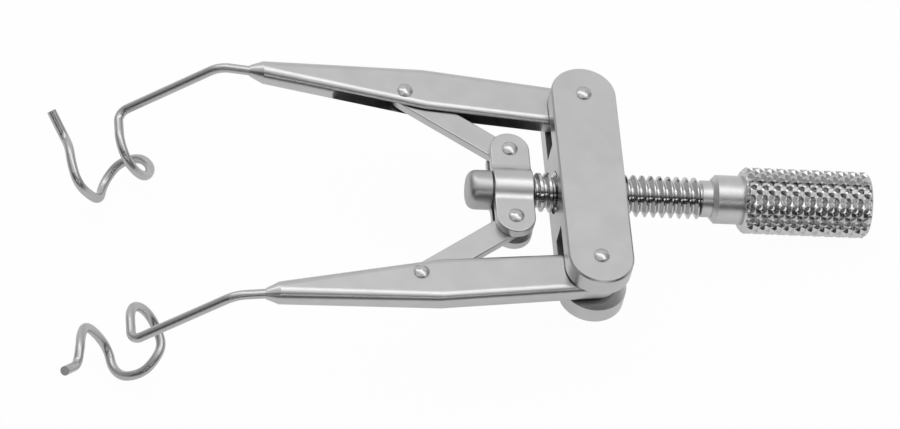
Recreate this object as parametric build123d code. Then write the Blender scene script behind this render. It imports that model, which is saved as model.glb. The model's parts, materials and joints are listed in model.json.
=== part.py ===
from build123d import *
import math
import os

# Eye speculum: two wire blades on arms that a screw spreads through a pair of links.
# Lengths are millimetres and angles degrees. Every piece is drawn in the frame of the mechanism: X runs
# along the screw towards the knob, Y across to the right-hand arm, Z up from the plane in which the arms
# swing, and the origin is the middle of the crossbar. At the end the whole is laid down on its blades
# and knob. The left-hand pieces mirror the right-hand ones.

# Fits
running_fit = 0.03
thread_fit = 0.05
side_play = 0.2

# Crossbar, a block with an open slot at each end for the arms
bar_width = 6.0
bar_height = 6.0
pivot_offset = 9.33
bar_end_radius = bar_width / 2
bar_slot_depth = 7.7
edge_break = 0.15

# Arms, flat bars with rounded edges that taper to a round nose
arm_thickness = 2.0
arm_edge_radius = 0.8
tang_radius = 2.2
shoulder_x = -14.3
shoulder_y = 10.93
shoulder_width = 4.8
nose_x = -28.95
nose_y = 12.62
nose_width = 2.05
cone_length = 1.2
cone_tip_diameter = 1.0

# Rivets and pivot pins
shank_diameter = 1.0
rivet_head_diameter = 1.45
rivet_head_height = 0.34
rivet_head_rim = 0.07
pivot_pin_diameter = 1.0
pivot_head_diameter = 1.45

# Links between the arms and the yoke
plate_edge_radius = 0.12
link_rivet_x = -16.12
link_rivet_y = 10.385
link_width = 2.3
link_thickness = 0.9
link_eye_slack = 0.38
link_side_play = 0.17
saw_radius = 7.0
saw_clearance = 0.45
saw_lead = 2.0
saw_end_x = -9.6
saw_end_depth = 3.1

# Yoke, two formed plates riveted together round the screw's neck
yoke_pin_x = -7.03
yoke_pin_y = 3.84
yoke_width = 3.6
yoke_plate = 0.85
yoke_gap = 1.0
yoke_bend_radius = 1.1

# Drive screw
thread_diameter = 3.8
neck_diameter = 2.3
neck_play = 0.05
head_diameter = 3.6
head_length = 2.2
head_rounding = 0.8
yoke_end_play = 0.08
thread_end_x = 10.4
relief_diameter = 3.34
thread_chamfer = 0.4

# Knob with its collar, pressed on the end of the screw
knob_x = 11.4
collar_diameter = 4.44
collar_chamfer = 0.4
collar_length = 2.8
knob_diameter = 6.05
knob_length = 11.8
knob_front_chamfer = 0.37
knob_end_chamfer = 0.33
knob_bore_diameter = 2.8
knob_bore_depth = 9.0

# Blade wire: out of the nose, down the slope to the lid, round a mandrel, back and round again
wire_diameter = 0.86
wire_seat = 3.5
wire_lead = 2.75
lead_bend_radius = 2.6
slope_angle = 40.8
slope_length = 11.1
lid_bend_radius = 0.97
mandrel_radius = 2.7
mandrel_y = 10.69
hook_spacing = 5.38
hook_lean = 0.16
bow_top_y = 12.21
tip_bend_y = 12.34
tip_spread = 0.3
tip_angle = 48.0
tip_bend_radius = 1.2
tip_length = 2.14
arcs_per_leg = 4
arcs_on_bow = 6
tilt_samples = 400

# Places and sizes that follow from those above
bar_slot_gap = arm_thickness + 2 * side_play
link_length = math.hypot(link_rivet_x - yoke_pin_x, link_rivet_y - yoke_pin_y)
link_angle = math.degrees(math.atan2(link_rivet_y - yoke_pin_y, link_rivet_x - yoke_pin_x))
arm_slot_gap = link_thickness + 2 * link_side_play
neck_start_x = yoke_pin_x - yoke_width / 2 - yoke_end_play
neck_end_x = yoke_pin_x + yoke_width / 2 + yoke_end_play
yoke_bore_radius = neck_diameter / 2 + neck_play
yoke_crown_radius = yoke_bore_radius + yoke_plate
yoke_height = yoke_gap + 2 * yoke_plate
knob_end_x = knob_x + collar_length + knob_length


def cylinder_along_x(radius, x_from, x_to):
    """A round bar on the screw's axis."""
    return Plane.YZ.offset(x_from) * extrude(Circle(radius), x_to - x_from)


def turned(points):
    """A turned piece on the screw's axis, from its half profile of (x, radius) points."""
    face = make_face(Polyline(*points, close=True))
    return revolve(face, Axis.X)


def rivet(x, y, grip, diameter, head_diameter):
    """A round pin through Z with a low domed head at each end of its grip."""
    half = grip / 2
    rim = half + rivet_head_rim
    top = half + rivet_head_height
    head = head_diameter / 2
    outline = Line((0, half), (head, half)) + Line((head, half), (head, rim))
    outline += RadiusArc((head, rim), (0, top), -dome_radius(head))
    outline += Line((0, top), (0, half))
    dome = revolve(Plane.XZ * make_face(outline), Axis.Z)
    pin = Cylinder(diameter / 2, grip) + dome + mirror(dome, Plane.XY)
    return Pos(x, y, 0) * pin


def dome_radius(head):
    """The ball radius of a rivet head's crown, from the head's radius and its rise above the rim."""
    rise = rivet_head_height - rivet_head_rim
    return (head * head + rise * rise) / (2 * rise)


def crossbar():
    plan = SlotCenterToCenter(2 * pivot_offset, bar_width, rotation=90)
    bar = extrude(plan, bar_height / 2, both=True)
    bar = chamfer(bar.faces().filter_by(Axis.Z).edges(), edge_break)
    bar_end = pivot_offset + bar_end_radius
    for side in (1, -1):
        middle = side * (bar_end - bar_slot_depth / 2 + edge_break)
        bar -= Pos(0, middle, 0) * Box(2 * bar_width, bar_slot_depth + 2 * edge_break, bar_slot_gap)
        bar -= Pos(0, side * pivot_offset, 0) * Cylinder(pivot_pin_diameter / 2, 2 * bar_height)
    bore = thread_diameter / 2 + thread_fit
    return bar - cylinder_along_x(bore, -bar_width, bar_width)


def arm_section(x, y, width, thickness, edge_radius):
    """The arm's cross-section at one station: a flat bar with rounded edges, or a round one."""
    station = Plane(origin=(x, y, 0), x_dir=(0, 1, 0), z_dir=(1, 0, 0))
    return station * RectangleRounded(width, thickness, edge_radius)


def nose_direction():
    """The direction of the arm's front part, from its shoulder out through its nose."""
    return Vector(nose_x - shoulder_x, nose_y - shoulder_y, 0).normalized()


def arm():
    """The right-hand arm: tang, slotted body, round nose with a cone, and the blade's socket."""
    tip = Vector(nose_x, nose_y, 0) + nose_direction() * cone_length
    slim = nose_width / arm_thickness
    full_round = 0.49
    sections = [
        arm_section(tip.X, tip.Y, cone_tip_diameter * slim, cone_tip_diameter, full_round * cone_tip_diameter),
        arm_section(nose_x, nose_y, nose_width, arm_thickness, full_round * arm_thickness),
        arm_section(shoulder_x, shoulder_y, shoulder_width, arm_thickness, arm_edge_radius),
        arm_section(0, pivot_offset, 2 * tang_radius, arm_thickness, arm_edge_radius),
    ]
    body = loft(sections, ruled=True)
    half_section = Pos(tang_radius / 2, 0) * Rectangle(tang_radius, arm_thickness)
    half_section = fillet(half_section.vertices().group_by(Axis.X)[-1], arm_edge_radius)
    tang = revolve(Plane.XZ * half_section, Axis.Z)
    body += Pos(0, pivot_offset, 0) * tang
    body -= Pos(0, pivot_offset, 0) * Cylinder(pivot_pin_diameter / 2 + running_fit, 2 * arm_thickness)
    body -= Pos(link_rivet_x, link_rivet_y, 0) * Cylinder(shank_diameter / 2, 2 * arm_thickness)
    body -= link_slot()
    seat = Plane(origin=tip - nose_direction() * wire_seat, z_dir=nose_direction())
    return body - seat * extrude(Circle(wire_diameter / 2), wire_seat + cone_length)


def link_slot():
    """The sawn slot in the arm's inner edge, as deep over the rivet as the link's end needs."""
    start_y = link_rivet_y + link_width / 2 + saw_clearance - saw_radius
    run = saw_end_x - (link_rivet_x - saw_lead)
    inner_edge_y = pivot_offset - tang_radius + (shoulder_y - shoulder_width / 2 - pivot_offset
                                                + tang_radius) * saw_end_x / shoulder_x
    end_y = inner_edge_y + saw_end_depth - saw_radius
    start = Vector(link_rivet_x - saw_lead, start_y, 0)
    end = Vector(saw_end_x, end_y, 0)
    middle = (start + end) * 0.5
    turn = math.degrees(math.atan2(end_y - start_y, run))
    plan = SlotCenterToCenter((end - start).length, 2 * saw_radius)
    return Pos(middle.X, middle.Y, 0) * Rot(0, 0, turn) * extrude(plan, arm_slot_gap / 2, both=True)


def link():
    """The right-hand link, a flat bar with round ends, from the yoke's rivet to the arm's."""
    middle_x = (yoke_pin_x + link_rivet_x) / 2
    middle_y = (yoke_pin_y + link_rivet_y) / 2
    bar = extrude(SlotCenterToCenter(link_length, link_width), link_thickness / 2, both=True)
    bar = fillet(bar.faces().filter_by(Axis.Z).edges(), plate_edge_radius)
    bar -= Pos(link_length / 2, 0) * Cylinder(shank_diameter / 2 + link_eye_slack, 2 * link_thickness)
    bar -= Pos(-link_length / 2, 0) * Cylinder(shank_diameter / 2 + running_fit, 2 * link_thickness)
    return Pos(middle_x, middle_y, 0) * Rot(0, 0, link_angle) * bar


def yoke_plate_top():
    """The yoke's upper plate: two flat lobes and an arch over the screw's neck."""
    reach = yoke_pin_y + yoke_width / 2
    level = yoke_gap / 2
    profile = Pos(0, level + yoke_plate / 2) * Rectangle(2 * reach, yoke_plate)
    crown = Circle(yoke_crown_radius) & Pos(0, level + reach / 2) * Rectangle(2 * reach, reach)
    profile += crown
    corners = profile.vertices().filter_by_position(Axis.Y, level + yoke_plate - 0.01, level + yoke_plate + 0.01)
    inner_corners = corners.sort_by(lambda v: abs(v.X))[0:2]
    profile = fillet(inner_corners, yoke_bend_radius)
    profile -= Circle(yoke_bore_radius)
    strip = Plane.YZ.offset(yoke_pin_x) * extrude(profile, yoke_width / 2, both=True)
    plan = SlotCenterToCenter(2 * yoke_pin_y, yoke_width, rotation=90)
    plate = strip & Pos(yoke_pin_x, 0, 0) * extrude(plan, 2 * yoke_crown_radius)
    upper = plate.edges().filter_by_position(Axis.Z, level + yoke_plate - 0.01, yoke_crown_radius + 0.01)
    plate = fillet(upper - upper.filter_by(Axis.X), plate_edge_radius)
    for side in (1, -1):
        plate -= Pos(yoke_pin_x, side * yoke_pin_y, 0) * Cylinder(shank_diameter / 2, 2 * yoke_height)
    return plate


def drive_screw():
    """The screw: rounded head, neck for the yoke, threaded length, relief and the knob's seat."""
    head_end = neck_start_x - head_length
    thread = thread_diameter / 2
    neck = neck_diameter / 2
    relief = relief_diameter / 2
    bore = knob_bore_diameter / 2
    screw = turned([
        (head_end, 0), (head_end, head_diameter / 2), (neck_start_x, head_diameter / 2),
        (neck_start_x, neck), (neck_end_x, neck), (neck_end_x, thread - thread_chamfer),
        (neck_end_x + thread_chamfer, thread), (thread_end_x - thread_chamfer, thread),
        (thread_end_x, relief), (knob_x, relief), (knob_x, bore),
        (knob_x + knob_bore_depth, bore), (knob_x + knob_bore_depth, 0),
    ])
    end_edge = screw.edges().filter_by(GeomType.CIRCLE).sort_by(Axis.X)[0]
    return fillet(end_edge, head_rounding)


def knurled_knob():
    """The knob and its collar in one turned piece with a blind bore."""
    collar = collar_diameter / 2
    knob = knob_diameter / 2
    bore = knob_bore_diameter / 2
    step_x = knob_x + collar_length
    return turned([
        (knob_x, bore), (knob_x, collar - collar_chamfer), (knob_x + collar_chamfer, collar),
        (step_x, collar), (step_x, knob - knob_front_chamfer), (step_x + knob_front_chamfer, knob),
        (knob_end_x - knob_end_chamfer, knob), (knob_end_x, knob - knob_end_chamfer), (knob_end_x, 0),
        (knob_x + knob_bore_depth, 0), (knob_x + knob_bore_depth, bore),
    ])


def blade_point(along, flat):
    """A point of the bent blade, from its flat pattern.

    The blade is first bent flat, like a hairpin, and then round a mandrel whose axis follows the slope.
    along runs down the slope from the lid bend. flat runs across it: below 0 the wire lies outside the
    mandrel over the lid, then it goes half round the mandrel, and then outwards again under the lid.
    """
    slope = math.radians(slope_angle)
    down = Vector(-math.cos(slope), 0, -math.sin(slope))
    inward = Vector(math.sin(slope), 0, -math.cos(slope))
    half_turn = math.pi * mandrel_radius
    if flat < 0:
        across, depth = mandrel_y - flat, 0
    elif flat < half_turn:
        angle = flat / mandrel_radius
        across, depth = mandrel_y - mandrel_radius * math.sin(angle), mandrel_radius * (1 - math.cos(angle))
    else:
        across, depth = mandrel_y + flat - half_turn, 2 * mandrel_radius
    corner = lid_corner()
    return Vector(corner.X, 0, corner.Z) + down * along + inward * depth + Vector(0, across, 0)


def lead_corner():
    """Where the wire leaves the line of the nose and starts down the slope."""
    return Vector(nose_x, nose_y, 0) + nose_direction() * (cone_length + wire_lead)


def lid_corner():
    """Where the slope ends and the wire turns in over the lid."""
    slope = math.radians(slope_angle)
    return lead_corner() + Vector(-math.cos(slope), 0, -math.sin(slope)) * slope_length


def blade_route():
    """The wire's centre line, as straight runs and tangent arcs."""
    seat_end = Vector(nose_x, nose_y, 0) + nose_direction() * (cone_length - wire_seat)
    wrap_start = blade_point(0, 0)
    start = FilletPolyline(seat_end, lead_corner(), lid_corner(), wrap_start,
                           radius=[lead_bend_radius, lid_bend_radius])
    bow_radius = hook_spacing / 2
    leg = math.pi * mandrel_radius + bow_top_y - mandrel_y - bow_radius
    steps = [k / arcs_per_leg for k in range(arcs_per_leg + 1)]
    flat_points = [(hook_lean * step, leg * step) for step in steps[1:]]
    for k in range(1, arcs_on_bow + 1):
        angle = math.pi * k / arcs_on_bow
        along = hook_lean + bow_radius * (1 - math.cos(angle))
        flat_points.append((along, leg + bow_radius * math.sin(angle)))
    flat_points += [(hook_spacing + hook_lean * step, leg * step) for step in steps[-2::-1]]
    edges = list(start.edges())
    here = wrap_start
    heading = (wrap_start - lid_corner()).normalized()
    for along, flat in flat_points:
        arc = Edge.make_tangent_arc(here, heading, blade_point(along, flat))
        edges.append(arc)
        here = arc @ 1
        heading = arc % 1
    arc = Edge.make_tangent_arc(here, heading, blade_point(hook_spacing + tip_spread, mandrel_y - tip_bend_y))
    slope = math.radians(slope_angle)
    rise = Vector(-math.sin(slope), 0, math.cos(slope)) * math.sin(math.radians(tip_angle))
    tip_heading = rise + Vector(0, math.cos(math.radians(tip_angle)), 0)
    chord = 2 * tip_bend_radius * math.sin(math.radians((arc % 1).get_angle(tip_heading) / 2))
    tip_start = arc @ 1 + ((arc % 1) + tip_heading).normalized() * chord
    bend = Edge.make_tangent_arc(arc @ 1, arc % 1, tip_start)
    edges += [arc, bend, Edge.make_line(tip_start, tip_start + tip_heading * tip_length)]
    return Wire(edges)


def blade():
    """The right-hand blade wire, with its root in the nose and a square-cut free end."""
    route = blade_route()
    seat_end = Vector(nose_x, nose_y, 0) + nose_direction() * (cone_length - wire_seat)
    section = Plane(origin=seat_end, z_dir=nose_direction()) * Circle(wire_diameter / 2)
    return sweep(section, path=route)


def rest_tilt():
    """The tilt about Y that lets the lowest bend of the blades and the knob's end rim touch the floor."""
    rim = Vector(knob_end_x - knob_end_chamfer, 0, -knob_diameter / 2)
    wire = wire_diameter / 2
    route = blade_route()
    tilts = []
    for k in range(tilt_samples + 1):
        point = route @ (k / tilt_samples)
        across = math.hypot(rim.X - point.X, rim.Z - point.Z)
        if across > wire:
            tilts.append(math.atan2(rim.Z - point.Z, rim.X - point.X) + math.asin(wire / across))
    return math.degrees(max(tilts))


def pieces():
    """Every piece of the instrument by name, in the frame of the mechanism."""
    made = {"crossbar": crossbar()}
    plate = yoke_plate_top()
    made["yoke_top_plate"] = plate
    made["yoke_bottom_plate"] = mirror(plate, Plane.XY)
    made["drive_screw"] = drive_screw()
    made["knurled_knob"] = knurled_knob()
    right = {
        "arm": arm(),
        "blade_wire": blade(),
        "link": link(),
        "arm_pivot_pin": rivet(0, pivot_offset, bar_height, pivot_pin_diameter, pivot_head_diameter),
        "link_rivet": rivet(link_rivet_x, link_rivet_y, arm_thickness, shank_diameter, rivet_head_diameter),
        "yoke_rivet": rivet(yoke_pin_x, yoke_pin_y, yoke_height, shank_diameter, rivet_head_diameter),
    }
    for name, piece in right.items():
        made["right_" + name] = piece
        made["left_" + name] = mirror(piece, Plane.XZ)
    return made


def laid_down(made):
    """The pieces turned to lie on blades and knob, with the origin under the middle of the whole."""
    tilt = rest_tilt()
    turned_pieces = {name: Rot(0, tilt, 0) * piece for name, piece in made.items()}
    rim = Rot(0, tilt, 0) * Pos(knob_end_x - knob_end_chamfer, 0, -knob_diameter / 2)
    boxes = [piece.bounding_box() for piece in turned_pieces.values()]
    middle_x = (min(box.min.X for box in boxes) + max(box.max.X for box in boxes)) / 2
    place = Pos(-middle_x, 0, -rim.position.Z)
    return {name: place * piece for name, piece in turned_pieces.items()}, place * Rot(0, tilt, 0)


def main():
    os.makedirs("parts", exist_ok=True)
    placed, frame = laid_down(pieces())
    for name, piece in placed.items():
        export_step(piece, os.path.join("parts", name + ".step"))
        print(name, "volume", round(piece.volume, 3))
    print("frame", frame)


if __name__ == "__main__":
    main()
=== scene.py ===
import json
import math

import bmesh
import bpy
from bpy.props import FloatProperty, FloatVectorProperty, IntProperty, PointerProperty
from mathutils import Matrix, Vector


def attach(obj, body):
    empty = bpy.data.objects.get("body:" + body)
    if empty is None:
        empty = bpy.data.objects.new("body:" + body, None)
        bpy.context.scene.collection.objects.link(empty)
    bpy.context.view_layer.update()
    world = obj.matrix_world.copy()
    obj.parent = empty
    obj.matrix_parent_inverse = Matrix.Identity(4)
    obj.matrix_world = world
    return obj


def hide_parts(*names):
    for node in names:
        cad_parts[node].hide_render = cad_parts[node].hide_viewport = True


bl_info = {
    "name": "Eye speculum",
    "version": (1, 0, 0),
    "blender": (4, 5, 0),
    "location": "View3D > Sidebar > Speculum",
    "description": "Dresses a screw-driven wire eye speculum: thread, knurling, steel finishes and studio",
    "category": "Object",
}

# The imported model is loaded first. The mechanism's frame has X along the screw towards the knob, Y across to
# the right-hand arm and Z up from the plane in which the arms swing. New pieces are drawn in it, in
# millimetres, and then laid in the frame of the whole.
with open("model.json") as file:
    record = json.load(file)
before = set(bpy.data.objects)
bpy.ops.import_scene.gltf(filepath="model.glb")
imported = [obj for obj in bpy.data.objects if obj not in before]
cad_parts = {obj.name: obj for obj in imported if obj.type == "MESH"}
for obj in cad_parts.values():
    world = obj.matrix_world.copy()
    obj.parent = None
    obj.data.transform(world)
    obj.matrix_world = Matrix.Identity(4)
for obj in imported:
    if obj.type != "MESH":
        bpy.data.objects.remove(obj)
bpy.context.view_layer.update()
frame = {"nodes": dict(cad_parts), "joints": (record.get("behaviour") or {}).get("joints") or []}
joints = {joint["name"]: joint for joint in frame["joints"]}
screw_axis = Vector(joints["knob_turn"]["axis"]).normalized()
swing_axis = Vector(joints["right_arm_swing"]["axis"]).normalized()
across_axis = swing_axis.cross(screw_axis)
mechanism_turn = Matrix((screw_axis, across_axis, swing_axis)).transposed()
mechanism = Matrix.Translation(joints["knob_turn"]["pos_m"]) @ mechanism_turn.to_4x4()
millimetres = Matrix.Scale(0.001, 4)

# Small distances in millimetres, within which points are welded or count as lying on a cut
merge_distance = 0.0005
thread_weld = 0.002
thread_cut_reach = 0.00001
knurl_cut_reach = 0.002
loop_reach = 0.0001
hair = 0.001

# Breaks on the turned edges, in millimetres
head_edge = 0.06
relief_edge = 0.08
grip_edge = 0.05

# The thread's form: its flanks, with points closer together near the crest, and how its crests rise from the
# neck and from their worn start, in millimetres of radius to each millimetre along
flank_angle = math.radians(30)
flank_shares = (0, 0.35, 0.55, 0.7, 0.85, 1)
lead_slope = 1.5
wear_slope = 0.07

# How finely the pieces are cut: steps round the screw, the knob and the head's front edge, where each chamfer
# of the grip is divided, and the rows of knurling to spare beyond each end
screw_segments = 48
knob_segments = 80
corner_segments = 6
chamfer_shares = (0.25, 0.5, 0.75, 1)
spare_knurl_rows = 2

# Most of a noise texture's values lie between these two
noise_low = 0.3
noise_high = 0.7


class ScrewSizes(bpy.types.PropertyGroup):
    """Sizes of the drive screw, in millimetres along and across its axis"""
    head_start: FloatProperty(
        name="Head start", description="Where the rounded head begins", default=-11.11)
    head_diameter: FloatProperty(
        name="Head diameter", description="Width of the rounded head", default=3.6)
    head_rounding: FloatProperty(
        name="Head rounding", description="Radius of the head's front edge", default=0.8)
    neck_start: FloatProperty(
        name="Neck start", description="Where the neck for the yoke begins", default=-8.91)
    neck_diameter: FloatProperty(
        name="Neck diameter", description="Width of the neck", default=2.3)
    thread_start: FloatProperty(
        name="Thread start", description="Where the thread begins", default=-5.15)
    thread_end: FloatProperty(
        name="Thread end", description="Where the thread runs out", default=10.4)
    thread_diameter: FloatProperty(
        name="Thread diameter", description="Width over the crests", default=3.8)
    front_crest: FloatProperty(
        name="Front crest", description="Width over the first, worn crests", default=3.43)
    root_diameter: FloatProperty(
        name="Root diameter", description="Width at the roots", default=2.8)
    pitch: FloatProperty(
        name="Pitch", description="Distance from crest to crest", default=0.8)
    crest_flat: FloatProperty(
        name="Crest flat", description="Width of the flat on each crest", default=0.1)
    relief_diameter: FloatProperty(
        name="Relief diameter", description="Width of the plain part by the knob", default=3.34)
    seat_start: FloatProperty(
        name="Seat start", description="Where the knob's seat begins", default=11.4)
    seat_end: FloatProperty(
        name="Seat end", description="Where the knob's seat ends", default=20.4)
    seat_diameter: FloatProperty(
        name="Seat diameter", description="Width of the part inside the knob", default=2.8)


class KnobSizes(bpy.types.PropertyGroup):
    """Sizes of the knob and its collar, in millimetres along and across the screw's axis"""
    collar_start: FloatProperty(
        name="Collar start", description="Where the collar begins", default=11.4)
    collar_diameter: FloatProperty(
        name="Collar diameter", description="Width of the collar", default=4.44)
    collar_chamfer: FloatProperty(
        name="Collar chamfer", description="Chamfer on the collar's front edge", default=0.4)
    grip_start: FloatProperty(
        name="Grip start", description="Where the knurled part begins", default=14.2)
    grip_end: FloatProperty(
        name="Grip end", description="Where the knurled part ends", default=26.0)
    grip_diameter: FloatProperty(
        name="Grip diameter", description="Width over the knurl's peaks", default=6.05)
    front_chamfer: FloatProperty(
        name="Front chamfer", description="Chamfer towards the collar", default=0.37)
    end_chamfer: FloatProperty(
        name="End chamfer", description="Chamfer at the free end", default=0.33)
    bore_diameter: FloatProperty(
        name="Bore diameter", description="Width of the bore on the screw", default=2.8)
    knurl_depth: FloatProperty(
        name="Knurl depth", description="Depth of the grooves", default=0.27)
    knurls_around: IntProperty(
        name="Knurls around", description="Diamonds round the grip", default=20)
    knurl_rows: IntProperty(
        name="Knurl rows", description="Half rows of diamonds along the grip", default=20)
    worn_share: FloatProperty(
        name="Worn share", description="Share of each diamond that is worn flat", default=0.28)


class SteelFinish(bpy.types.PropertyGroup):
    """Colours and gloss of the steel finishes"""
    satin_colour: FloatVectorProperty(
        name="Satin steel", description="Colour of the blasted bars and plates and the wires' cut ends",
        subtype="COLOR", size=4, default=(0.55, 0.55, 0.55, 1.0))
    head_colour: FloatVectorProperty(
        name="Screw head", description="Colour of the blasted head of the screw",
        subtype="COLOR", size=4, default=(0.46, 0.46, 0.46, 1.0))
    wire_colour: FloatVectorProperty(
        name="Wire", description="Colour of the blade wires",
        subtype="COLOR", size=4, default=(0.5, 0.5, 0.5, 1.0))
    rivet_colour: FloatVectorProperty(
        name="Rivets", description="Colour of the rivet heads and pins",
        subtype="COLOR", size=4, default=(0.52, 0.52, 0.52, 1.0))
    turned_colour: FloatVectorProperty(
        name="Turned steel", description="Colour of the screw and the knob's collar",
        subtype="COLOR", size=4, default=(0.57, 0.57, 0.57, 1.0))
    knurl_colour: FloatVectorProperty(
        name="Knurled steel", description="Colour of the knurled grip",
        subtype="COLOR", size=4, default=(0.62, 0.62, 0.62, 1.0))
    satin_roughness: FloatProperty(
        name="Satin roughness", description="Gloss of the blasted steel", default=0.3)
    head_roughness: FloatProperty(
        name="Head roughness", description="Gloss of the screw's head", default=0.36)
    cut_roughness: FloatProperty(
        name="Cut roughness", description="Gloss of the wires' cut ends", default=0.7)
    wire_roughness: FloatProperty(
        name="Wire roughness", description="Gloss of the blade wires", default=0.3)
    rivet_roughness: FloatProperty(
        name="Rivet roughness", description="Gloss of the rivet heads", default=0.18)
    turned_roughness: FloatProperty(
        name="Turned roughness", description="Gloss of the screw's thread", default=0.15)
    knob_roughness: FloatProperty(
        name="Knob roughness", description="Gloss of the knob's collar and the screw beside it", default=0.32)
    knurl_roughness: FloatProperty(
        name="Knurl roughness", description="Gloss of the knurled grip", default=0.16)


class StudioSizes(bpy.types.PropertyGroup):
    """The studio: camera, floor, lamps and walls"""
    lens: FloatProperty(
        name="Lens", description="Focal length", subtype="DISTANCE_CAMERA", default=280.0)
    floor_width: FloatProperty(
        name="Floor width", description="Width of the floor", subtype="DISTANCE", default=6.0)
    overhead_lamp: FloatProperty(
        name="Overhead lamp", description="Power of the large lamp above", subtype="POWER", default=1.0)
    strip_lamp: FloatProperty(
        name="Strip lamp", description="Power of the narrow lamp above", subtype="POWER", default=0.12)
    front_lamp: FloatProperty(
        name="Front lamp", description="Power of the narrow lamp by the camera", subtype="POWER", default=0.3)
    walls: FloatProperty(
        name="Walls", description="Brightness of the studio's pale walls", default=0.82)
    end_share: FloatProperty(
        name="End share", description="Share of that brightness at the studio's two ends", default=0.45)
    dark_side: FloatProperty(
        name="Dark side", description="Brightness of the studio behind the camera", default=0.05)


def piece_from(bm, name, body, smooth_angle):
    """The finished mesh as an object at the origin, laid in the frame of the whole and riding on its body."""
    bmesh.ops.remove_doubles(bm, verts=bm.verts, dist=merge_distance)
    bmesh.ops.recalc_face_normals(bm, faces=bm.faces)
    bmesh.ops.transform(bm, matrix=mechanism @ millimetres, verts=bm.verts)
    mesh = bpy.data.meshes.new(name)
    bm.to_mesh(mesh)
    bm.free()
    mesh.shade_smooth()
    mesh.set_sharp_from_angle(angle=math.radians(smooth_angle))
    piece = bpy.data.objects.new(name, mesh)
    bpy.context.scene.collection.objects.link(piece)
    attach(piece, body)
    return piece


def lathe(bm, profile, segments):
    """Turns an open profile of (x, radius) points round the screw's axis."""
    verts = [bm.verts.new((x, radius, 0)) for x, radius in profile]
    edges = [bm.edges.new(pair) for pair in zip(verts, verts[1:])]
    bmesh.ops.spin(bm, geom=verts + edges, cent=(0, 0, 0), axis=(1, 0, 0), dvec=(0, 0, 0),
                   angle=math.tau, steps=segments, use_merge=True, use_duplicate=False)
    bmesh.ops.remove_doubles(bm, verts=bm.verts, dist=merge_distance)


def open_loop(bm, x):
    """The open edges of the mesh that lie at x along the screw's axis."""
    return [edge for edge in bm.edges
            if edge.is_boundary and all(abs(vert.co.x - x) < loop_reach for vert in edge.verts)]


def cut_across(bm, x, outward, reach, trim):
    """Cuts the mesh square to the screw's axis at x, and takes away what lies outward of it when trimming."""
    bmesh.ops.bisect_plane(bm, geom=bm.verts[:] + bm.edges[:] + bm.faces[:], dist=reach,
                           plane_co=(x, 0, 0), plane_no=(outward, 0, 0), clear_outer=trim)


def draw_in(bm, limit, sizes):
    """Draws every vertex in to the radius that the limit gives at its place along the axis."""
    for vert in bm.verts:
        radius = math.hypot(vert.co.y, vert.co.z)
        largest = limit(vert.co.x, sizes)
        if radius > largest:
            vert.co.y *= largest / radius
            vert.co.z *= largest / radius


def rounded_corner(x, radius, size):
    """Points round the head's front edge, from its face to its side."""
    points = []
    for k in range(corner_segments + 1):
        angle = math.pi / 2 * k / corner_segments
        points.append((x + size * (1 - math.sin(angle)), radius - size + size * math.cos(angle)))
    return points[::-1]


def thread_limit(x, sizes):
    """The radius that the thread's crests keep to: cut down towards the neck and chamfered at both ends."""
    full = sizes.thread_diameter / 2
    lead = sizes.root_diameter / 2 + lead_slope * (x - sizes.thread_start)
    worn = sizes.front_crest / 2 + wear_slope * (x - sizes.thread_start)
    runout = sizes.relief_diameter / 2 + (sizes.thread_end - x)
    return min(full, lead, worn, runout)


def cut_thread(bm, sizes):
    """A ridge of one pitch swept up the helix, welded to itself and cut square at both ends."""
    root = sizes.root_diameter / 2
    height = sizes.thread_diameter / 2 - root
    flank = height * math.tan(flank_angle)
    root_flat = sizes.pitch - 2 * flank - sizes.crest_flat
    rising = [(root_flat + flank * share, root + height * share) for share in flank_shares]
    falling = [(sizes.pitch - flank * share, root + height * share) for share in flank_shares[::-1]]
    profile = [(0, root)] + rising + falling
    start = sizes.thread_start - 2 * sizes.pitch
    turns = math.ceil((sizes.thread_end - start) / sizes.pitch) + 1
    verts = [bm.verts.new((start + x, radius, 0)) for x, radius in profile]
    edges = [bm.edges.new(pair) for pair in zip(verts, verts[1:])]
    bmesh.ops.spin(bm, geom=verts + edges, cent=(0, 0, 0), axis=(1, 0, 0),
                   dvec=(sizes.pitch / screw_segments, 0, 0), angle=math.tau * turns,
                   steps=turns * screw_segments, use_merge=False, use_duplicate=False)
    bmesh.ops.remove_doubles(bm, verts=bm.verts, dist=thread_weld)
    cut_across(bm, sizes.thread_start, outward=-1, reach=thread_cut_reach, trim=True)
    cut_across(bm, sizes.thread_end, outward=1, reach=thread_cut_reach, trim=True)
    draw_in(bm, thread_limit, sizes)


def make_screw():
    """The drive screw in one closed surface: rounded head, neck, cut thread, relief and knob seat."""
    sizes = bpy.context.scene.speculum_screw
    bm = bmesh.new()
    cut_thread(bm, sizes)
    head = sizes.head_diameter / 2
    neck = sizes.neck_diameter / 2
    front = [(sizes.head_start, 0)] + rounded_corner(sizes.head_start, head, sizes.head_rounding)
    front += [(sizes.neck_start - head_edge, head), (sizes.neck_start, head - head_edge),
              (sizes.neck_start, neck), (sizes.thread_start, neck)]
    relief = sizes.relief_diameter / 2
    seat = sizes.seat_diameter / 2
    back = [(sizes.thread_end, relief - relief_edge), (sizes.thread_end + relief_edge, relief),
            (sizes.seat_start, relief), (sizes.seat_start, seat), (sizes.seat_end, seat), (sizes.seat_end, 0)]
    for profile, x in ((front, sizes.thread_start), (back, sizes.thread_end)):
        lathe(bm, profile, screw_segments)
        bmesh.ops.bridge_loops(bm, edges=open_loop(bm, x))
    # The thread and the neck take the first material, the head the second, the relief and the seat the third
    for face in bm.faces:
        x = face.calc_center_median().x
        if x < sizes.neck_start:
            face.material_index = 1
        elif x > sizes.thread_end:
            face.material_index = 2
    piece = piece_from(bm, "threaded_screw", "screw", smooth_angle=30.0)
    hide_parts("drive_screw")
    return piece


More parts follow.
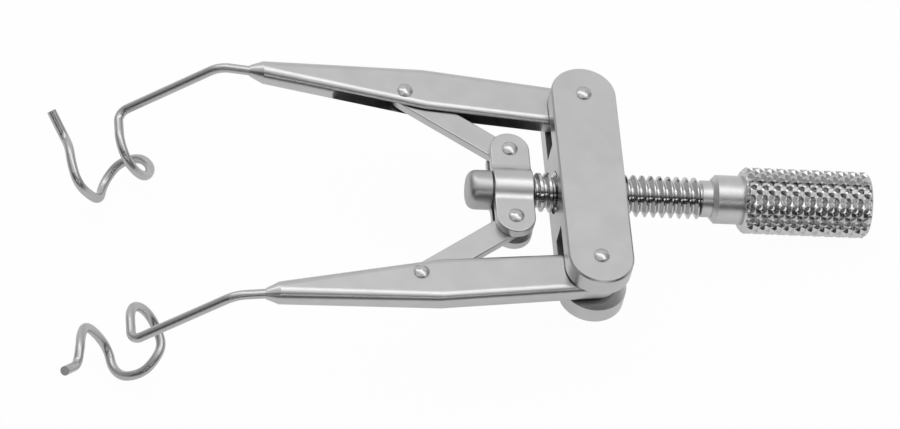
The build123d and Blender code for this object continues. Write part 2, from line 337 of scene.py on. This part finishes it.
def chamfer_limit(x, sizes):
    """The radius that the chamfers at both ends of the grip leave at x."""
    outside = sizes.grip_diameter / 2
    front = outside - sizes.front_chamfer + x - sizes.grip_start
    end = outside - sizes.end_chamfer + sizes.grip_end - x
    return min(front, end)


def cut_knurl(bm, sizes):
    """A tube of diamonds with worn flats, cut to length and chamfered at both ends."""
    around = 2 * sizes.knurls_around
    rows = sizes.knurl_rows + 2 * spare_knurl_rows
    first = sizes.grip_start + sizes.front_chamfer
    row_length = (sizes.grip_end - sizes.end_chamfer - first) / sizes.knurl_rows
    groove = sizes.grip_diameter / 2 - sizes.knurl_depth
    peak = groove + sizes.knurl_depth / (1 - sizes.worn_share)
    bmesh.ops.create_grid(bm, x_segments=rows, y_segments=around, size=1.0)
    crossings = []
    for vert in bm.verts:
        row = round((vert.co.x + 1) / 2 * rows)
        place = round((vert.co.y + 1) / 2 * around)
        is_peak = (row + place) % 2 == 0
        x = first + (row - spare_knurl_rows) * row_length
        radius = peak if is_peak else groove
        angle = math.tau * place / around
        vert.co = (x, radius * math.cos(angle), radius * math.sin(angle))
        if not is_peak:
            crossings.append(vert)
    bmesh.ops.connect_verts(bm, verts=crossings)
    bmesh.ops.remove_doubles(bm, verts=bm.verts, dist=merge_distance)
    peaks = [vert for vert in bm.verts if math.hypot(vert.co.y, vert.co.z) > peak - hair]
    bmesh.ops.bevel(bm, geom=peaks, offset=100 * sizes.worn_share, affect="VERTICES", segments=1, profile=0.5,
                    material=-1, offset_type="PERCENT", clamp_overlap=True)
    cut_across(bm, sizes.grip_start, outward=-1, reach=knurl_cut_reach, trim=True)
    cut_across(bm, sizes.grip_end, outward=1, reach=knurl_cut_reach, trim=True)
    for share in chamfer_shares:
        in_front = sizes.grip_start + sizes.front_chamfer * share
        at_end = sizes.grip_end - sizes.end_chamfer * share
        cut_across(bm, in_front, outward=-1, reach=knurl_cut_reach, trim=False)
        cut_across(bm, at_end, outward=1, reach=knurl_cut_reach, trim=False)
    draw_in(bm, chamfer_limit, sizes)


def make_knob():
    """The knob in one closed surface: bore, collar, chamfers and a grip of knurled diamonds."""
    sizes = bpy.context.scene.speculum_knob
    bm = bmesh.new()
    cut_knurl(bm, sizes)
    collar = sizes.collar_diameter / 2
    bore = sizes.bore_diameter / 2
    front = [(sizes.collar_start, bore), (sizes.collar_start, collar - sizes.collar_chamfer),
             (sizes.collar_start + sizes.collar_chamfer, collar), (sizes.grip_start, collar),
             (sizes.grip_start, chamfer_limit(sizes.grip_start, sizes) - grip_edge)]
    back = [(sizes.grip_end, chamfer_limit(sizes.grip_end, sizes) - grip_edge), (sizes.grip_end, 0)]
    for profile, x in ((front, sizes.grip_start), (back, sizes.grip_end)):
        lathe(bm, profile, knob_segments)
        bmesh.ops.bridge_loops(bm, edges=open_loop(bm, x))
    # The bore runs from the collar's face to where the screw's seat ends, and is closed there
    deeper = bmesh.ops.extrude_edge_only(bm, edges=open_loop(bm, sizes.collar_start))
    depth = bpy.context.scene.speculum_screw.seat_end - sizes.collar_start
    moved = [item for item in deeper["geom"] if isinstance(item, bmesh.types.BMVert)]
    bmesh.ops.translate(bm, vec=(depth, 0, 0), verts=moved)
    bmesh.ops.holes_fill(bm, edges=open_loop(bm, sizes.collar_start + depth))
    for face in bm.faces:
        middle = face.calc_center_median()
        is_grip = middle.x > sizes.grip_start + hair and math.hypot(middle.y, middle.z) > collar
        face.material_index = int(is_grip)
    piece = piece_from(bm, "knurled_grip", "screw", smooth_angle=25.0)
    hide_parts("knurled_knob")
    return piece


def shader_tree(material):
    """A fresh node tree with one shader."""
    material.use_nodes = True
    tree = material.node_tree
    tree.nodes.clear()
    output = tree.nodes.new("ShaderNodeOutputMaterial")
    shader = tree.nodes.new("ShaderNodeBsdfPrincipled")
    tree.links.new(shader.outputs["BSDF"], output.inputs["Surface"])
    return tree, shader


def add_mapping(tree, vector, setting, value):
    """A vector turned or scaled."""
    mapping = tree.nodes.new("ShaderNodeMapping")
    mapping.inputs[setting].default_value = value
    tree.links.new(vector, mapping.inputs["Vector"])
    return mapping.outputs["Vector"]


def in_mechanism(tree, vector):
    """A vector turned so that X runs along the screw."""
    return add_mapping(tree, vector, "Rotation", mechanism_turn.inverted().to_euler())


def add_math(tree, operation, *values):
    """One step of arithmetic on sockets and plain numbers."""
    node = tree.nodes.new("ShaderNodeMath")
    node.operation = operation
    for value, socket in zip(values, node.inputs):
        if isinstance(value, bpy.types.NodeSocket):
            tree.links.new(value, socket)
        else:
            socket.default_value = value
    return node.outputs[0]


def add_range(tree, value, start, end, low, high, interpolation="LINEAR"):
    """A value between start and end, spread from low to high."""
    spread = tree.nodes.new("ShaderNodeMapRange")
    spread.interpolation_type = interpolation
    for socket, number in (("From Min", start), ("From Max", end), ("To Min", low), ("To Max", high)):
        spread.inputs[socket].default_value = number
    tree.links.new(value, spread.inputs["Value"])
    return spread.outputs["Result"]


def add_dot(tree, vector, direction):
    """How far a vector points along a direction."""
    dot = tree.nodes.new("ShaderNodeVectorMath")
    dot.operation = "DOT_PRODUCT"
    dot.inputs[1].default_value = direction
    tree.links.new(vector, dot.inputs[0])
    return dot.outputs["Value"]


def add_noise(tree, vector, scale, detail):
    noise = tree.nodes.new("ShaderNodeTexNoise")
    noise.inputs["Scale"].default_value = scale
    noise.inputs["Detail"].default_value = detail
    tree.links.new(vector, noise.inputs["Vector"])
    return noise.outputs["Fac"]


def bare_steel(name):
    """A plain metal and the coordinates for its textures."""
    material = bpy.data.materials.new(name)
    tree, shader = shader_tree(material)
    shader.inputs["Metallic"].default_value = 1.0
    place = tree.nodes.new("ShaderNodeTexCoord")
    return material, tree, shader, in_mechanism(tree, place.outputs["Object"])


def tint(tree, shader, noise, colour, change):
    """The base colour, darker and lighter by a share of itself with a noise."""
    ramp = tree.nodes.new("ShaderNodeValToRGB")
    stops = ((noise_low, 1 - change), (noise_high, 1 + change))
    for stop, (position, share) in zip(ramp.color_ramp.elements, stops):
        stop.position = position
        stop.color = [min(1, part * share) for part in colour[:3]] + [1]
    tree.links.new(noise, ramp.inputs["Fac"])
    tree.links.new(ramp.outputs["Color"], shader.inputs["Base Color"])


def vary_gloss(tree, shader, noise, roughness, less, more):
    """The roughness, a little less and more with a noise."""
    gloss = add_range(tree, noise, noise_low, noise_high, roughness - less, roughness + more)
    tree.links.new(gloss, shader.inputs["Roughness"])


def add_bump(tree, shader, height, strength, distance):
    bump = tree.nodes.new("ShaderNodeBump")
    bump.inputs["Strength"].default_value = strength
    bump.inputs["Distance"].default_value = distance
    tree.links.new(height, bump.inputs["Height"])
    tree.links.new(bump.outputs["Normal"], shader.inputs["Normal"])


def blasted_steel(name, colour, roughness):
    """Fine-blasted stainless steel: a tiny even grain with soft cloudy patches."""
    material, tree, shader, vector = bare_steel(name)
    grain = add_noise(tree, vector, scale=9000.0, detail=3.0)
    clouds = add_noise(tree, vector, scale=450.0, detail=3.0)
    tint(tree, shader, clouds, colour, change=0.04)
    vary_gloss(tree, shader, grain, roughness, less=0.015, more=0.015)
    add_bump(tree, shader, grain, strength=0.28, distance=0.000004)
    return material


def drawn_wire(name, colour, roughness):
    """Drawn and polished wire, with the fine marks of the die."""
    material, tree, shader, vector = bare_steel(name)
    marks = add_noise(tree, vector, scale=4000.0, detail=3.0)
    clouds = add_noise(tree, vector, scale=400.0, detail=2.0)
    tint(tree, shader, clouds, colour, change=0.03)
    vary_gloss(tree, shader, marks, roughness, less=0.03, more=0.04)
    add_bump(tree, shader, marks, strength=0.1, distance=0.000005)
    return material


def struck_steel(name, colour, roughness, dent_scale, dent_depth):
    """Steel worked by a punch or by knurling wheels: small soft dents."""
    material, tree, shader, vector = bare_steel(name)
    dents = add_noise(tree, vector, scale=dent_scale, detail=2.0)
    tint(tree, shader, dents, colour, change=0.1)
    vary_gloss(tree, shader, dents, roughness, less=0.05, more=0.08)
    add_bump(tree, shader, dents, strength=1.0, distance=dent_depth)
    return material


def turned_steel(name, colour, roughness, ring_strength):
    """Bright turned steel, with the tool's fine rings across the screw's axis."""
    narrow_rings = (220.0, 1.0, 1.0)
    material, tree, shader, vector = bare_steel(name)
    across = add_mapping(tree, vector, "Scale", narrow_rings)
    rings = add_noise(tree, across, scale=60.0, detail=4.0)
    clouds = add_noise(tree, vector, scale=700.0, detail=3.0)
    tint(tree, shader, clouds, colour, change=0.06)
    vary_gloss(tree, shader, rings, roughness, less=0.05, more=0.07)
    add_bump(tree, shader, rings, strength=ring_strength, distance=0.00002)
    return material


def both(name):
    """The names of a right-hand piece and its left-hand twin."""
    return ["right_" + name, "left_" + name]


def paint(material, *names):
    """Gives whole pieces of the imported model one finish."""
    for name in names:
        mesh = frame["nodes"][name].data
        mesh.materials.clear()
        mesh.materials.append(material)
        for polygon in mesh.polygons:
            polygon.material_index = 0


def paint_cut_end(material, name):
    """Gives a wire's cut end its own finish: the largest group of parallel polygons by its free tip."""
    # The reach is in metres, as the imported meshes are, and two parallel unit normals have a product of 1
    tip_reach = 0.001
    parallel = 0.9999
    mesh = frame["nodes"][name].data
    tip = min((vert.co for vert in mesh.vertices), key=screw_axis.dot)
    near = [polygon for polygon in mesh.polygons if (polygon.center - tip).length < tip_reach]
    groups = [[other for other in near if other.normal.dot(polygon.normal) > parallel] for polygon in near]
    mesh.materials.append(material)
    for polygon in max(groups, key=len):
        polygon.material_index = 1


def in_studio(x, y, z):
    """A place given in the mechanism's frame, in metres."""
    return mechanism @ Vector((x, y, z))


def area_lamp(name, power, place, width, height):
    """A lamp that faces the middle of the mechanism."""
    light = bpy.data.lights.new(name, "AREA")
    light.shape = "RECTANGLE"
    light.size = width
    light.size_y = height
    light.energy = power
    lamp = bpy.data.objects.new(name, light)
    bpy.context.scene.collection.objects.link(lamp)
    lamp.location = place
    lamp.rotation_mode = "QUATERNION"
    lamp.rotation_quaternion = (in_studio(0, 0, 0) - place).to_track_quat("-Z", "Y")


def shown_directly(tree, camera_share, mirror_share):
    """How white a surface is shown to the camera, and to shiny and clear surfaces that mirror it."""
    path = tree.nodes.new("ShaderNodeLightPath")
    to_camera = add_math(tree, "MULTIPLY", path.outputs["Is Camera Ray"], camera_share)
    to_metal = add_math(tree, "MULTIPLY", path.outputs["Is Glossy Ray"], mirror_share)
    to_glass = add_math(tree, "MULTIPLY", path.outputs["Is Transmission Ray"], mirror_share)
    mirrored = add_math(tree, "MAXIMUM", to_metal, to_glass)
    return add_math(tree, "MAXIMUM", to_camera, mirrored)


def make_floor(studio):
    """A matt white floor just under the instrument, which still shows its soft shadow."""
    # The floor lies this far below the lowest point, in metres
    drop = 0.00002
    bm = bmesh.new()
    bmesh.ops.create_grid(bm, x_segments=1, y_segments=1, size=studio.floor_width / 2)
    bmesh.ops.translate(bm, vec=(0, 0, -drop), verts=bm.verts)
    mesh = bpy.data.meshes.new("floor")
    bm.to_mesh(mesh)
    bm.free()
    floor = bpy.data.objects.new("floor", mesh)
    bpy.context.scene.collection.objects.link(floor)
    material = bpy.data.materials.new("pale_floor")
    tree, shader = shader_tree(material)
    shader.inputs["Base Color"].default_value = (0.9, 0.9, 0.9, 1.0)
    shader.inputs["Roughness"].default_value = 0.9
    white = tree.nodes.new("ShaderNodeEmission")
    white.inputs["Color"].default_value = (1.0, 1.0, 1.0, 1.0)
    blend = tree.nodes.new("ShaderNodeMixShader")
    tree.links.new(shown_directly(tree, camera_share=0.97, mirror_share=0.52), blend.inputs["Fac"])
    tree.links.new(shader.outputs["BSDF"], blend.inputs[1])
    tree.links.new(white.outputs["Emission"], blend.inputs[2])
    output = next(node for node in tree.nodes if node.type == "OUTPUT_MATERIAL")
    tree.links.new(blend.outputs["Shader"], output.inputs["Surface"])
    mesh.materials.append(material)


def wall_brightness(tree, studio):
    """Pale walls with a long dark band behind the camera, dimmer towards both ends of the screw's axis."""
    behind_camera = (0.0, -0.87, 0.49)
    along_screw = (1.0, 0.0, 0.0)
    band_stretch = (0.2, 1.0, 1.0)
    direction = tree.nodes.new("ShaderNodeTexCoord")
    turned = in_mechanism(tree, direction.outputs["Generated"])
    unit = tree.nodes.new("ShaderNodeVectorMath")
    unit.operation = "NORMALIZE"
    tree.links.new(add_mapping(tree, turned, "Scale", band_stretch), unit.inputs[0])
    towards_band = add_dot(tree, unit.outputs["Vector"], behind_camera)
    band = add_range(tree, towards_band, start=0.77, end=0.93, low=studio.walls, high=studio.dark_side,
                     interpolation="SMOOTHSTEP")
    towards_end = add_math(tree, "ABSOLUTE", add_dot(tree, turned, along_screw))
    ends = add_range(tree, towards_end, start=0.5, end=0.9, low=1.0, high=studio.end_share,
                     interpolation="SMOOTHSTEP")
    return add_math(tree, "MULTIPLY", band, ends)


def make_world(studio):
    """The studio's walls as the steel mirrors them, and plain white to the camera itself."""
    world = bpy.data.worlds.new("studio")
    bpy.context.scene.world = world
    world.use_nodes = True
    tree = world.node_tree
    tree.nodes.clear()
    output = tree.nodes.new("ShaderNodeOutputWorld")
    light = tree.nodes.new("ShaderNodeBackground")
    light.inputs["Color"].default_value = (1.0, 1.0, 1.0, 1.0)
    walls = wall_brightness(tree, studio)
    direct = shown_directly(tree, camera_share=1.0, mirror_share=0.0)
    tree.links.new(add_math(tree, "MAXIMUM", walls, direct), light.inputs["Strength"])
    tree.links.new(light.outputs["Background"], output.inputs["Surface"])


def make_lamps(studio):
    """Two lamps above and behind the instrument, and a low one by the camera, with their sizes in metres."""
    area_lamp("overhead_softbox", studio.overhead_lamp, in_studio(0, 0.155, 0.58), width=1.2, height=0.3)
    area_lamp("strip_lamp", studio.strip_lamp, in_studio(0, 0.17, 0.5), width=1.0, height=0.02)
    area_lamp("front_lamp", studio.front_lamp, in_studio(0, -0.46, 0.34), width=0.8, height=0.055)


def make_camera(studio):
    """The camera at the photograph's angle, given in the mechanism's frame."""
    place = Vector((-0.120607, -0.388365, 0.486588))
    right = Vector((0.98447, -0.07495, 0.15872))
    up = Vector((-0.03921, 0.78752, 0.61504))
    turn = Matrix((right, up, right.cross(up))).transposed().to_4x4()
    lens = bpy.data.cameras.new("camera")
    lens.lens = studio.lens
    lens.sensor_width = 36.0
    camera = bpy.data.objects.new("camera", lens)
    bpy.context.scene.collection.objects.link(camera)
    camera.matrix_world = mechanism @ Matrix.Translation(place) @ turn
    bpy.context.scene.camera = camera


class SPECULUM_OT_screw(bpy.types.Operator):
    """Cut the drive screw with its thread"""
    bl_idname = "speculum.screw"
    bl_label = "Drive screw"

    def execute(self, context):
        finish = context.scene.speculum_finish
        materials = make_screw().data.materials
        materials.append(turned_steel("turned_thread_steel", finish.turned_colour, finish.turned_roughness,
                                      ring_strength=0.1))
        materials.append(blasted_steel("blasted_head_steel", finish.head_colour, finish.head_roughness))
        materials.append(turned_steel("turned_relief_steel", finish.turned_colour, finish.knob_roughness,
                                      ring_strength=0.12))
        return {"FINISHED"}


class SPECULUM_OT_knob(bpy.types.Operator):
    """Turn and knurl the knob"""
    bl_idname = "speculum.knob"
    bl_label = "Knurled knob"

    def execute(self, context):
        finish = context.scene.speculum_finish
        materials = make_knob().data.materials
        materials.append(turned_steel("turned_collar_steel", finish.turned_colour, finish.knob_roughness,
                                      ring_strength=0.12))
        materials.append(struck_steel("knurled_steel", finish.knurl_colour, finish.knurl_roughness,
                                      dent_scale=4500.0, dent_depth=0.00001))
        return {"FINISHED"}


class SPECULUM_OT_finishes(bpy.types.Operator):
    """Give the bars, plates, wires and rivets their steel finishes"""
    bl_idname = "speculum.finishes"
    bl_label = "Steel finishes"

    def execute(self, context):
        finish = context.scene.speculum_finish
        satin = blasted_steel("satin_steel", finish.satin_colour, finish.satin_roughness)
        paint(satin, "crossbar", *both("arm"), *both("link"), "yoke_top_plate", "yoke_bottom_plate")
        wire = drawn_wire("wire_steel", finish.wire_colour, finish.wire_roughness)
        cut = blasted_steel("cut_wire_steel", finish.satin_colour, finish.cut_roughness)
        for name in both("blade_wire"):
            paint(wire, name)
            paint_cut_end(cut, name)
        rivet = struck_steel("rivet_steel", finish.rivet_colour, finish.rivet_roughness,
                             dent_scale=2500.0, dent_depth=0.00004)
        paint(rivet, *both("arm_pivot_pin"), *both("link_rivet"), *both("yoke_rivet"))
        return {"FINISHED"}


class SPECULUM_OT_stage(bpy.types.Operator):
    """Set the pale floor, the soft lamps and the camera"""
    bl_idname = "speculum.stage"
    bl_label = "Studio"

    def execute(self, context):
        studio = context.scene.speculum_studio
        context.scene.view_settings.view_transform = "Standard"
        make_floor(studio)
        make_world(studio)
        make_lamps(studio)
        make_camera(studio)
        return {"FINISHED"}


class SPECULUM_PT_panel(bpy.types.Panel):
    """Buttons for each piece of the speculum and its studio"""
    bl_idname = "SPECULUM_PT_panel"
    bl_label = "Eye speculum"
    bl_space_type = "VIEW_3D"
    bl_region_type = "UI"
    bl_category = "Speculum"

    def draw(self, context):
        for name in ("screw", "knob", "finishes", "stage"):
            self.layout.operator("speculum." + name)


classes = (
    ScrewSizes, KnobSizes, SteelFinish, StudioSizes,
    SPECULUM_OT_screw, SPECULUM_OT_knob, SPECULUM_OT_finishes, SPECULUM_OT_stage, SPECULUM_PT_panel,
)


def register():
    for cls in classes:
        bpy.utils.register_class(cls)
    bpy.types.Scene.speculum_screw = PointerProperty(type=ScrewSizes)
    bpy.types.Scene.speculum_knob = PointerProperty(type=KnobSizes)
    bpy.types.Scene.speculum_finish = PointerProperty(type=SteelFinish)
    bpy.types.Scene.speculum_studio = PointerProperty(type=StudioSizes)


def unregister():
    del bpy.types.Scene.speculum_screw
    del bpy.types.Scene.speculum_knob
    del bpy.types.Scene.speculum_finish
    del bpy.types.Scene.speculum_studio
    for cls in reversed(classes):
        bpy.utils.unregister_class(cls)


def main():
    register()
    bpy.ops.speculum.screw()
    bpy.ops.speculum.knob()
    bpy.ops.speculum.finishes()
    bpy.ops.speculum.stage()


if __name__ == "__main__":
    main()
